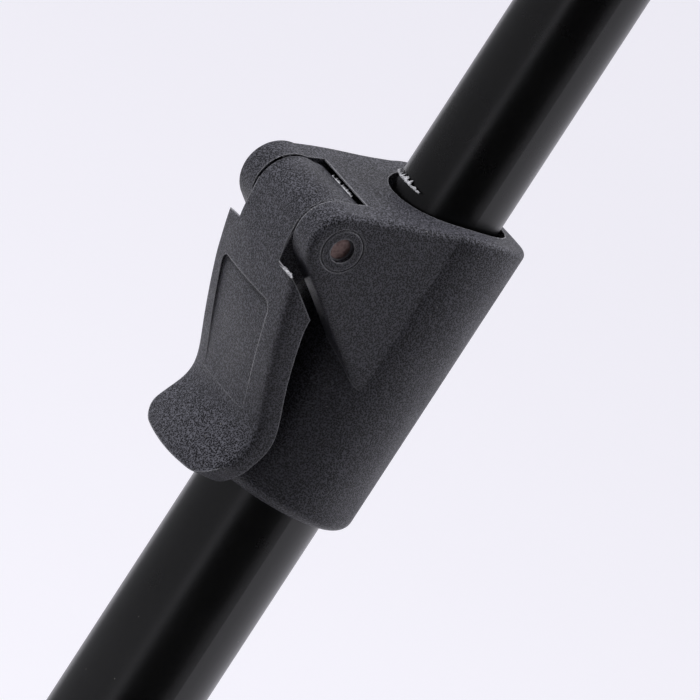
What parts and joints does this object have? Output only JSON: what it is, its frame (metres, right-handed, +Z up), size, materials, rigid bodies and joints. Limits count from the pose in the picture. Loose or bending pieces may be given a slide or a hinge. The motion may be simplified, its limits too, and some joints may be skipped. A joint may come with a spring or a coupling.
{
  "type": "music stand",
  "caption": "Folding music stand: perforated sheet-metal desk on a tilt head, telescopic tube column with a flip-lever height clutch, and fold-down tubular legs.",
  "frame": {"origin": "on the floor, on the axis of the column", "axes": "+Z up along the column; -Y is the player's side, which the desk and the clutch lever face; +X to the player's right"},
  "size_m": [0.5284, 0.4596, 1.087],
  "materials": {
    "tube_black": "satin",
    "hub_black": "satin",
    "clutch_plastic": "matte",
    "desk_black": "matte",
    "zinc_steel": "satin",
    "pin_steel": "satin",
    "rubber_black": "matte",
    "bush_plastic": "satin",
    "knob_plastic": "satin",
    "brass_insert": "satin"
  },
  "bodies": {
    "column": {"outer_tube": "tube_black", "leg_hub": "hub_black", "tube_plug": "zinc_steel", "base_washer": "zinc_steel", "base_screw": "zinc_steel", "neck_bush": "knob_plastic", "clutch_housing": "clutch_plastic", "housing_grub_screw": "zinc_steel", "lever_pin": "pin_steel", "leg_pin_1": "zinc_steel", "leg_pin_2": "zinc_steel", "leg_pin_3": "zinc_steel"},
    "lever": {"clutch_lever": "clutch_plastic"},
    "shoe": {"clamp_shoe": "knob_plastic", "shoe_liner": "rubber_black"},
    "glide": {"glide_bush": "bush_plastic"},
    "mast": {"inner_tube": "tube_black", "tilt_head": "clutch_plastic", "head_rivet": "zinc_steel"},
    "desk": {"desk_plate": "desk_black", "desk_bracket": "hub_black", "bracket_rivets": "zinc_steel", "tilt_bolt": "zinc_steel", "tilt_washers": "bush_plastic"},
    "knob": {"tilt_knob": "knob_plastic", "knob_insert": "brass_insert"},
    "leg_1": {"leg_tang_1": "hub_black", "leg_tube_1": "tube_black", "foot_cap_1": "rubber_black"},
    "leg_2": {"leg_tang_2": "hub_black", "leg_tube_2": "tube_black", "foot_cap_2": "rubber_black"},
    "leg_3": {"leg_tang_3": "hub_black", "leg_tube_3": "tube_black", "foot_cap_3": "rubber_black"}
  },
  "joints": [
    {"name": "lever_hinge", "type": "hinge", "parent": "column", "child": "lever", "pos_m": [0, -0.0196, 0.628], "axis": [-1, 0, 0], "range_deg": [0, 100]},
    {"name": "shoe_slide", "type": "slide", "parent": "column", "child": "shoe", "axis": [0, -1, 0], "range_m": [0, 0.0006]},
    {"name": "height_slide", "type": "slide", "parent": "column", "child": "glide", "axis": [0, 0, 1], "range_m": [-0.09, 0.2]},
    {"name": "mast_turn", "type": "hinge", "parent": "glide", "child": "mast", "pos_m": [0, 0, 0.6], "axis": [0, 0, 1], "continuous": true},
    {"name": "desk_tilt", "type": "hinge", "parent": "mast", "child": "desk", "pos_m": [0, 0, 0.90205], "axis": [-1, 0, 0], "range_deg": [-20, 60]},
    {"name": "knob_turn", "type": "hinge", "parent": "desk", "child": "knob", "pos_m": [0, 0, 0.90205], "axis": [1, 0, 0], "continuous": true},
    {"name": "leg_fold_1", "type": "hinge", "parent": "column", "child": "leg_1", "pos_m": [0, 0.022, 0.084], "axis": [-1, 0, 0], "range_deg": [0, 72]},
    {"name": "leg_fold_2", "type": "hinge", "parent": "column", "child": "leg_2", "pos_m": [-0.01905, -0.011, 0.084], "axis": [0.5, -0.866, 0], "range_deg": [0, 72]},
    {"name": "leg_fold_3", "type": "hinge", "parent": "column", "child": "leg_3", "pos_m": [0.01905, -0.011, 0.084], "axis": [0.5, 0.866, 0], "range_deg": [0, 72]}
  ],
  "couplings": [
    {"joint": "shoe_slide", "follows": "lever_hinge", "m_per_rad": 0.00034}
  ]
}
